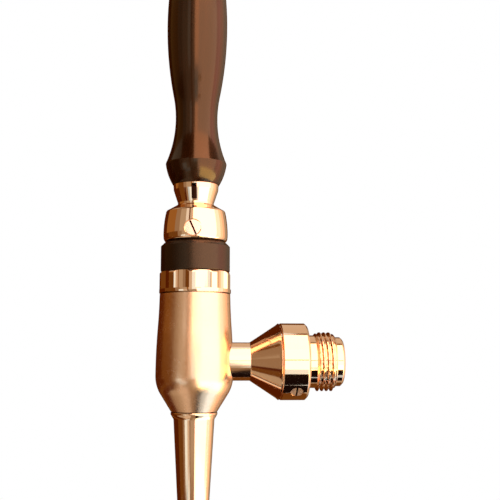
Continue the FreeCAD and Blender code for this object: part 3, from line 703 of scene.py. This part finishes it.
thread_edges = [
    edge for edge in tail_work.edges
    if min(vert.co.x for vert in edge.verts) < (TAP_AXIS + RELIEF_END + THREAD_FADE) * MM
    and max(vert.co.x for vert in edge.verts) > (TAP_AXIS + THREAD_END - THREAD_FADE) * MM
    and min(math.hypot(vert.co.y, vert.co.z) for vert in edge.verts) > OUTSIDE_RADIUS * MM
]
bmesh.ops.subdivide_edges(tail_work, edges=thread_edges, cuts=THREAD_ROWS, use_grid_fill=True)
for vert in tail_work.verts:
    along = vert.co.x / MM - TAP_AXIS
    radius = math.hypot(vert.co.y, vert.co.z) / MM
    if radius < OUTSIDE_RADIUS:
        continue
    if not RELIEF_END - THREAD_MARGIN < along < THREAD_END + THREAD_MARGIN:
        continue
    turn = math.atan2(vert.co.z, vert.co.y) / (2 * math.pi)
    phase = 2 * math.pi * ((along - RELIEF_END) / THREAD_PITCH - turn)
    crest = min(max(0.5 + THREAD_SHARPNESS * math.cos(phase), 0), 1)
    fade = min(1, (along - RELIEF_END) / THREAD_FADE, (THREAD_END - along) / THREAD_FADE)
    wanted = THREAD_ROOT + (THREAD_CREST - THREAD_ROOT) * crest * max(fade, 0)
    vert.co.y *= wanted / radius
    vert.co.z *= wanted / radius
tail_brass = turned_metal("polished_tail_brass", NECK_COLOUR, TAIL_ROUGHNESS, lines=6000,
                          line_depth=1e-6, about=INLET)
inlet_tail = fit_piece("inlet_tail_polished", tail_work, "tap", "inlet_tail",
                       tail_brass)
flow_point = (TAP_AXIS + FLOW_SCREW_ALONG, 0, 0)
flow_way = (0, -math.cos(FLOW_SCREW_DIP), -math.sin(FLOW_SCREW_DIP))
bore(inlet_tail, FLOW_BORE_RADIUS, flow_point, flow_way, FLOW_BORE_LENGTH)
even_normals(inlet_tail)

# Nozzle: the tapered spout, turned in brass and polished
# Its grooved plug is sealed in the body's socket, and its collar comes up against the foot.
SPOUT_COLOUR = (0.93, 0.67, 0.47)
SPOUT_ROUGHNESS = 0.1
NOZZLE_TOP = -13
NOZZLE_END = -84
NOZZLE_PLUG_RADIUS = 6.5
NOZZLE_GROOVE_BOTTOM = -17.15
NOZZLE_GROOVE_TOP = -15.25
NOZZLE_GROOVE_RADIUS = 5.33
NOZZLE_COLLAR_BOTTOM = -20.1
NOZZLE_SHOULDER = (7.87, -22)
NOZZLE_TIP_RADIUS = 4.3
NOZZLE_LIP = 0.3
NOZZLE_BORE = 3.4
NOZZLE_FUNNEL = 2.2
spout_brass = turned_metal("polished_spout_brass", SPOUT_COLOUR, SPOUT_ROUGHNESS, lines=5000,
                           line_depth=5e-7)
joint_line(spout_brass, BODY_BOTTOM)
nozzle_work = turned([
    (THROAT_RADIUS, NOZZLE_TOP),
    (NOZZLE_PLUG_RADIUS, NOZZLE_TOP),
    (NOZZLE_PLUG_RADIUS, NOZZLE_GROOVE_TOP),
    (NOZZLE_GROOVE_RADIUS, NOZZLE_GROOVE_TOP),
    (NOZZLE_GROOVE_RADIUS, NOZZLE_GROOVE_BOTTOM),
    (NOZZLE_PLUG_RADIUS, NOZZLE_GROOVE_BOTTOM),
    (NOZZLE_PLUG_RADIUS, BODY_BOTTOM),
    (FOOT_RADIUS - JOINT_CHAMFER, BODY_BOTTOM),
    (FOOT_RADIUS, BODY_BOTTOM - JOINT_CHAMFER),
    (FOOT_RADIUS, NOZZLE_COLLAR_BOTTOM),
    NOZZLE_SHOULDER,
    (NOZZLE_TIP_RADIUS, NOZZLE_END + NOZZLE_LIP),
    (NOZZLE_TIP_RADIUS - NOZZLE_LIP, NOZZLE_END),
    (NOZZLE_BORE, NOZZLE_END),
    (NOZZLE_BORE, NOZZLE_TOP - NOZZLE_FUNNEL),
])
soften(nozzle_work)
nozzle = fit_piece("nozzle_polished", nozzle_work, "tap", "nozzle",
                   spout_brass)
even_normals(nozzle)

# Union nut: a polished brass nut, screwed on the body's spigot to hold the valve guide down
# Ten scallops for a hook spanner run from its top to a plain rim at its foot.
NUT_ROUGHNESS = 0.05
NUT_BOTTOM = 26.4
NUT_TOP = 34.6
NUT_RADIUS = 14
NUT_CORNER = 1
NUT_HOLE_RADIUS = 9.3
NUT_BORE_RADIUS = 11.65
NUT_ROOF = 2
NUT_SOFTNESS = 0.08
NUT_SKIN_RADIUS = 12
FLUTES = 10
FLUTE_CUTTER = 8
FLUTE_DEPTH = 1
FLUTE_RIM = 1.4
FLUTE_STEP = 0.02
FLUTE_TURN = math.radians(-6)
nut_work = turned([
    (NUT_RADIUS, NUT_BOTTOM),
    (NUT_RADIUS, NUT_BOTTOM + FLUTE_RIM),
    (NUT_RADIUS, NUT_BOTTOM + FLUTE_RIM + FLUTE_STEP),
    (NUT_RADIUS, NUT_TOP - NUT_CORNER, NUT_CORNER, -1),
    (NUT_RADIUS - NUT_CORNER, NUT_TOP),
    (NUT_HOLE_RADIUS, NUT_TOP),
    (NUT_HOLE_RADIUS, NUT_TOP - NUT_ROOF),
    (NUT_BORE_RADIUS, NUT_TOP - NUT_ROOF),
    (NUT_BORE_RADIUS, NUT_BOTTOM),
], steps=360)
bmesh.ops.rotate(nut_work, cent=(TAP_AXIS * MM, 0, 0), verts=nut_work.verts[:],
                 matrix=Matrix.Rotation(FLUTE_TURN, 3, "Z"))
flute_spacing = 2 * math.pi / FLUTES
flute_start = (NUT_BOTTOM + FLUTE_RIM + FLUTE_STEP / 2) * MM
cutter_place = NUT_RADIUS - FLUTE_DEPTH + FLUTE_CUTTER
for vert in nut_work.verts:
    across = vert.co.x / MM - TAP_AXIS
    radius = math.hypot(across, vert.co.y / MM)
    if vert.co.z < flute_start or radius < NUT_SKIN_RADIUS:
        continue
    turn = math.atan2(vert.co.y / MM, across) - FLUTE_TURN
    turn = (turn + flute_spacing / 2) % flute_spacing - flute_spacing / 2
    inside = FLUTE_CUTTER ** 2 - (cutter_place * math.sin(turn)) ** 2
    if inside <= 0:
        continue
    limit = cutter_place * math.cos(turn) - math.sqrt(inside)
    if limit < radius:
        vert.co.x = (TAP_AXIS + across * limit / radius) * MM
        vert.co.y *= limit / radius
soften(nut_work, NUT_SOFTNESS)
nut_brass = turned_metal("polished_nut_brass", SPOUT_COLOUR, NUT_ROUGHNESS, lines=4000,
                         line_depth=1e-6)
union_nut = fit_piece("union_nut_polished", nut_work, "tap", "union_nut",
                      nut_brass)
even_normals(union_nut)

# Rocker ring: a ring of black moulded plastic that lies on the nut, round the spindle
# The cap stands on its flat top and tilts over its edge.
RING_TOP = 46.9
RING_RADIUS = 13.55
RING_FLAT_RADIUS = 11.3
RING_BEVEL = 2.2
RING_CHAMFER = 0.5
RING_BORE = 8.05
RING_TONES = ((0.008, 0.003, 0.002), (0.014, 0.006, 0.003))
RING_ROUGHNESS = (0.27, 0.33)
ring_finish, tree, shader, place = new_finish("black_ring_plastic")
ring_mottle = noise_on(tree, place, (500, 500, 500), detail=4)
ring_tone = tones(tree, ring_mottle, RING_TONES)
tree.links.new(ring_tone.outputs["Color"], shader.inputs["Base Color"])
ring_smear = noise_on(tree, place, (1500, 1500, 1500), detail=3)
ring_gloss = between(tree, ring_smear, *RING_ROUGHNESS)
tree.links.new(ring_gloss.outputs["Result"], shader.inputs["Roughness"])
shader.inputs["Specular IOR Level"].default_value = 0.58
shader.inputs["Specular Tint"].default_value = (1, 0.78, 0.55, 1)
ring_lines = noise_on(tree, place, (40, 40, 5000), detail=2)
relief(tree, shader, ring_lines, 3e-6, strength=0.3)
ring_work = turned([
    (RING_RADIUS - RING_CHAMFER, NUT_TOP),
    (RING_RADIUS, NUT_TOP + RING_CHAMFER),
    (RING_RADIUS, RING_TOP - RING_BEVEL),
    (RING_FLAT_RADIUS, RING_TOP),
    (RING_BORE, RING_TOP),
    (RING_BORE, NUT_TOP),
])
soften(ring_work)
rocker_ring = fit_piece("rocker_ring_black", ring_work, "tap", "rocker_ring",
                        ring_finish)
even_normals(rocker_ring)

# Rocker cap: the polished brass head of the lever, with the stud that the handle screws on
# It stands on the ring and is drilled right through for the slotted pivot screw.
LEVER_COLOUR = (0.94, 0.68, 0.48)
CAP_ROUGHNESS = 0.045
PIVOT_HEIGHT = 50.85
LEVER_SWING = math.radians(-6.5)
CAP_FOOT_RADIUS = 12.15
CAP_LIP = (12.55, RING_TOP + 0.8)
CAP_WIDEST = (12.65, RING_TOP + 2.4)
CAP_SHOULDER = (11.7, RING_TOP + 11.4)
CAP_EDGE = (10.95, RING_TOP + 12.15)
CAP_FLANK = 42
CAP_ROUNDING = 1.1
CAP_ROOF = 61.2
CAP_ROOF_RADIUS = 7.3
CAP_BORE_RADIUS = 6.3
CAP_BORE_TOP = PIVOT_HEIGHT + 6.4
STUD_RADIUS = 4
STUD_TOP = 81.4
PIVOT_HEAD_BORE = (3.35, 10.2, 8)
PIVOT_STEM_BORE = (2.05, -11, 24)
pivot_point = Vector((TAP_AXIS, 0, PIVOT_HEIGHT))
pivot_way = Vector((math.sin(LEVER_SWING), -math.cos(LEVER_SWING), 0))
cap_brass = turned_metal("polished_cap_brass", LEVER_COLOUR, CAP_ROUGHNESS, lines=3500,
                         line_depth=1e-6)
cap_work = turned([
    (CAP_BORE_RADIUS, RING_TOP),
    (CAP_FOOT_RADIUS, RING_TOP),
    CAP_LIP,
    (*CAP_WIDEST, CAP_FLANK, -1),
    (*CAP_SHOULDER, CAP_ROUNDING, -1),
    CAP_EDGE,
    (CAP_ROOF_RADIUS, CAP_ROOF),
    (STUD_RADIUS, CAP_ROOF),
    (STUD_RADIUS, STUD_TOP),
    (0, STUD_TOP),
    (0, CAP_BORE_TOP),
    (CAP_BORE_RADIUS, CAP_BORE_TOP),
], steps=256)
soften(cap_work)
rocker_cap = fit_piece("rocker_cap_polished", cap_work, "lever", "rocker_cap",
                       cap_brass)
for radius, start, length in (PIVOT_HEAD_BORE, PIVOT_STEM_BORE):
    bore(rocker_cap, radius, pivot_point + pivot_way * start, pivot_way, length)
even_normals(rocker_cap)

# Handle ferrule: a polished brass cone between the cap and the wood, threaded on the stud
# It has a slot for a spanner in its front, painted dark inside with painted shade and some dirt.
HANDLE_FOOT = 69.3
FERRULE_ROUGHNESS = 0.05
FERRULE_BORE = 4.05
FERRULE_FOOT_RADIUS = 7.1
FERRULE_CONE_FOOT = CAP_ROOF + 0.9
FERRULE_CONE_TOP = HANDLE_FOOT - 2.1
FERRULE_SHOULDER_RADIUS = 8.8
FERRULE_TOP_RADIUS = 8.95
SPANNER_SLOT = (2.1, 4, 5.9)
SLOT_DEPTH = 3
SLOT_DROP = 0.6
SLOT_CORNER = 0.3
SLOT_EDGE_ANGLE = math.radians(12)
# Depth below the outside at which the painted shade and dirt in slots and round screw heads
# begins
DIRT_AND_SHADE_DEPTH = 0.12


def dirt_and_shade_under_cone(finish):
    """Darken what lies nearer to the tap axis than the ferrule's outside at that height: painted
    shade, with some dirt, inside the spanner slot.
    """
    cone_slope = ((FERRULE_SHOULDER_RADIUS - FERRULE_FOOT_RADIUS)
                  / (FERRULE_CONE_TOP - FERRULE_CONE_FOOT))
    cone_base = FERRULE_FOOT_RADIUS - FERRULE_CONE_FOOT * cone_slope
    tree = finish.node_tree
    place = tree.nodes.new("ShaderNodeTexCoord")
    from_axis = tree.nodes.new("ShaderNodeMapping")
    from_axis.inputs["Location"].default_value = (-TAP_AXIS * MM, 0, 0)
    from_axis.inputs["Scale"].default_value = (1, 1, 0)
    tree.links.new(place.outputs["Object"], from_axis.inputs["Vector"])
    distance = tree.nodes.new("ShaderNodeVectorMath")
    distance.operation = "LENGTH"
    tree.links.new(from_axis.outputs["Vector"], distance.inputs[0])
    parts = tree.nodes.new("ShaderNodeSeparateXYZ")
    tree.links.new(place.outputs["Object"], parts.inputs["Vector"])
    cone_skin = tree.nodes.new("ShaderNodeMath")
    cone_skin.operation = "MULTIPLY_ADD"
    cone_skin.inputs[1].default_value = cone_slope
    cone_skin.inputs[2].default_value = (cone_base - DIRT_AND_SHADE_DEPTH) * MM
    tree.links.new(parts.outputs["Z"], cone_skin.inputs[0])
    skin = tree.nodes.new("ShaderNodeMath")
    skin.operation = "MINIMUM"
    skin.inputs[1].default_value = (FERRULE_SHOULDER_RADIUS - DIRT_AND_SHADE_DEPTH) * MM
    tree.links.new(cone_skin.outputs[0], skin.inputs[0])
    in_slot = tree.nodes.new("ShaderNodeMath")
    in_slot.operation = "LESS_THAN"
    tree.links.new(distance.outputs["Value"], in_slot.inputs[0])
    tree.links.new(skin.outputs[0], in_slot.inputs[1])
    darken(finish, in_slot)


ferrule_brass = turned_metal("polished_ferrule_brass", LEVER_COLOUR, FERRULE_ROUGHNESS,
                             lines=3500, line_depth=1e-6)
# Painted shade, with some dirt, inside the spanner slot
dirt_and_shade_under_cone(ferrule_brass)
ferrule_work = turned([
    (FERRULE_BORE, CAP_ROOF),
    (FERRULE_FOOT_RADIUS, CAP_ROOF),
    (FERRULE_FOOT_RADIUS, FERRULE_CONE_FOOT),
    (FERRULE_SHOULDER_RADIUS, FERRULE_CONE_TOP),
    (FERRULE_TOP_RADIUS, HANDLE_FOOT),
    (FERRULE_BORE, HANDLE_FOOT),
])
soften(ferrule_work)
handle_ferrule = fit_piece("handle_ferrule_polished", ferrule_work, "lever", "handle_ferrule",
                           ferrule_brass)
slot_work = bmesh.new()
bmesh.ops.create_cube(slot_work, size=MM, matrix=Matrix.Diagonal((*SPANNER_SLOT, 1)))
slot_corners = [edge for edge in slot_work.edges
                if abs(edge.verts[0].co.y - edge.verts[1].co.y) > MM]
bmesh.ops.bevel(slot_work, geom=slot_corners, affect="EDGES", offset=SLOT_CORNER * MM,
                offset_type="OFFSET", segments=3, profile=0.5, material=-1)
slot_middle = Vector((0, -(FERRULE_TOP_RADIUS - SLOT_DEPTH + SPANNER_SLOT[1] / 2),
                      HANDLE_FOOT - SLOT_DROP - SPANNER_SLOT[2] / 2))
bmesh.ops.translate(slot_work, verts=slot_work.verts[:], vec=slot_middle * MM)
bmesh.ops.rotate(slot_work, cent=(0, 0, 0), verts=slot_work.verts[:],
                 matrix=Matrix.Rotation(LEVER_SWING, 3, "Z"))
bmesh.ops.translate(slot_work, verts=slot_work.verts[:], vec=(TAP_AXIS * MM, 0, 0))
carve(handle_ferrule, slot_work)
handle_ferrule.data.set_sharp_from_angle(angle=SLOT_EDGE_ANGLE)
even_normals(handle_ferrule)

# Handle: turned hardwood, stained nearly black and varnished
# Its outline runs from a flared heel over a ridge, a waist and a belly to a round dome, and a
# threaded insert in its foot takes the lever's stud.
HANDLE_FOOT_RADIUS = 9.1
HEEL = 22
RIDGE_HEIGHT = 77.85
WAIST = (8.33, 96.3)
HOLLOW = 47
BELLY = (12.2, 134.3)
SWELL = 150
DOME_HEIGHT = 166.3
INSERT_RADIUS = 6.05
INSERT_TOP = 83.4
HANDLE_SOFTNESS = 0.2
WOOD_TONES = ((0.012, 0.002, 0.0005), (0.02, 0.004, 0.001), (0.035, 0.008, 0.002))
ridge_radius = WAIST[0] + HOLLOW - math.sqrt(HOLLOW ** 2 - (WAIST[1] - RIDGE_HEIGHT) ** 2)
swell_centre = SWELL - BELLY[0]
grip_spread = swell_centre + WAIST[0] + HOLLOW
grip_span = math.hypot(BELLY[1] - WAIST[1], grip_spread)
blend_height = WAIST[1] + HOLLOW * (BELLY[1] - WAIST[1]) / grip_span
blend_radius = WAIST[0] + HOLLOW * (1 - grip_spread / grip_span)
dome_span = math.hypot(swell_centre, DOME_HEIGHT - BELLY[1])
dome_radius = SWELL - dome_span
dome_edge = (
    dome_radius * swell_centre / dome_span,
    DOME_HEIGHT + dome_radius * (DOME_HEIGHT - BELLY[1]) / dome_span,
)
wood, tree, shader, place = new_finish("stained_wood")
grain = noise_on(tree, place, (260, 260, 18), detail=6)
grain.inputs["Distortion"].default_value = 0.7
wood_tone = tones(tree, grain, WOOD_TONES)
tree.links.new(wood_tone.outputs["Color"], shader.inputs["Base Color"])
shader.inputs["Roughness"].default_value = 0.2
shader.inputs["Specular IOR Level"].default_value = 0.56
shader.inputs["Specular Tint"].default_value = (1, 0.66, 0.34, 1)
shader.inputs["Coat Weight"].default_value = 0.2
shader.inputs["Coat Roughness"].default_value = 0.06
pores = noise_on(tree, place, (2600, 2600, 90), detail=3)
relief(tree, shader, pores, 1.2e-5, strength=0.25)
handle_work = turned([
    (INSERT_RADIUS, HANDLE_FOOT),
    (HANDLE_FOOT_RADIUS, HANDLE_FOOT, HEEL, -1),
    (ridge_radius, RIDGE_HEIGHT, HOLLOW, 1),
    (blend_radius, blend_height, SWELL, -1),
    (*dome_edge, dome_radius, -1),
    (0, DOME_HEIGHT + dome_radius),
    (0, INSERT_TOP),
    (INSERT_RADIUS, INSERT_TOP),
], steps=192)
soften(handle_work, HANDLE_SOFTNESS)
handle = fit_piece("handle_wood", handle_work, "lever", "handle", wood)
even_normals(handle)

# Screws: two slotted brass screws, the pivot across the cap and the flow screw in the collar
# Their slots and what lies below their heads' faces are painted dark: painted shade, with some
# dirt, in the slots and the recesses round the heads.
PIVOT_HEAD = 12.2
PIVOT_SCREW_COLOUR = (0.9, 0.74, 0.7)
PIVOT_SCREW_ROUGHNESS = 0.14
FLOW_HEAD = 14.6
FLOW_SCREW_COLOUR = (0.92, 0.66, 0.46)
FLOW_SCREW_ROUGHNESS = 0.4


def screw_finish(name, foot, way, head, colour, roughness):
    """Brass painted dark in the slot and below the head's face, by distance along it: painted
    shade, with some dirt.
    """
    finish = turned_metal(name, colour, roughness, lines=3000, line_depth=2e-6)
    tree = finish.node_tree
    screw_place = tree.nodes.new("ShaderNodeTexCoord")
    from_foot = tree.nodes.new("ShaderNodeVectorMath")
    from_foot.operation = "SUBTRACT"
    from_foot.inputs[1].default_value = Vector(foot) * MM
    tree.links.new(screw_place.outputs["Object"], from_foot.inputs[0])
    along = tree.nodes.new("ShaderNodeVectorMath")
    along.operation = "DOT_PRODUCT"
    along.inputs[1].default_value = way
    tree.links.new(from_foot.outputs["Vector"], along.inputs[0])
    below_face = tree.nodes.new("ShaderNodeMath")
    below_face.operation = "LESS_THAN"
    below_face.inputs[1].default_value = (head - DIRT_AND_SHADE_DEPTH) * MM
    tree.links.new(along.outputs["Value"], below_face.inputs[0])
    # Painted shade, with some dirt, below the head's face
    darken(finish, below_face)
    return finish


def paint_node(node, finish):
    """Give a CAD node that shows as it is its finish."""
    for node_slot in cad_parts[node].material_slots:
        node_slot.material = finish


pivot_screw_brass = screw_finish("pivot_screw_brass", pivot_point, pivot_way, PIVOT_HEAD,
                                 PIVOT_SCREW_COLOUR, PIVOT_SCREW_ROUGHNESS)
paint_node("pivot_screw", pivot_screw_brass)
flow_screw_brass = screw_finish("flow_screw_brass", flow_point, flow_way, FLOW_HEAD,
                                FLOW_SCREW_COLOUR, FLOW_SCREW_ROUGHNESS)
paint_node("flow_screw", flow_screw_brass)

# Hidden pieces: the brass guide, washer nut and insert, the steel spindle and spring washer,
# the plastic compensator and the rubber seals. They keep their CAD meshes.
steel = turned_metal("bright_steel", (0.62, 0.62, 0.61), 0.22, lines=3000, line_depth=2e-6)
plain_brass = turned_metal("plain_brass", (0.85, 0.63, 0.36), 0.3, lines=3000, line_depth=3e-6)


def moulded(name, low, high, roughness, grain_depth):
    """Moulded plastic or rubber, with a slight mottle and a fine grain."""
    finish, tree, shader, place = new_finish(name)
    mottle = tones(tree, noise_on(tree, place, (800, 800, 800), detail=4), (low, high))
    tree.links.new(mottle.outputs["Color"], shader.inputs["Base Color"])
    shader.inputs["Roughness"].default_value = roughness
    skin_grain = noise_on(tree, place, (6000, 6000, 6000), detail=2)
    relief(tree, shader, skin_grain, grain_depth, strength=0.4)
    return finish


white_plastic = moulded("white_plastic", (0.72, 0.71, 0.68), (0.8, 0.79, 0.76), 0.38, 4e-6)
seal_rubber = moulded("seal_rubber", (0.012, 0.012, 0.012), (0.022, 0.022, 0.022), 0.62, 8e-6)
HIDDEN_FINISHES = {
    "valve_guide": plain_brass,
    "guide_seal": seal_rubber,
    "spindle_seal": seal_rubber,
    "housing_seal": seal_rubber,
    "nozzle_seal": seal_rubber,
    "flow_screw_seal": seal_rubber,
    "seat_washer": seal_rubber,
    "spindle": steel,
    "washer_nut": plain_brass,
    "spring_washer": steel,
    "handle_insert": plain_brass,
    "compensator": white_plastic,
}
for node_name, node_finish in HIDDEN_FINISHES.items():
    paint_node(node_name, node_finish)

# Return spring: a steel compression spring between the valve guide and the spindle's washer
# Its upper end rests in the guide, and its mesh is the CAD node's, merged.
spring_work = bmesh.new()
spring_work.from_mesh(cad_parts["return_spring"].data)
bmesh.ops.remove_doubles(spring_work, verts=spring_work.verts[:], dist=MERGE_WITHIN)
bmesh.ops.recalc_face_normals(spring_work, faces=spring_work.faces[:])
return_spring = fit_piece("return_spring_steel", spring_work, "tap", "return_spring",
                          steel)
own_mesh(return_spring)
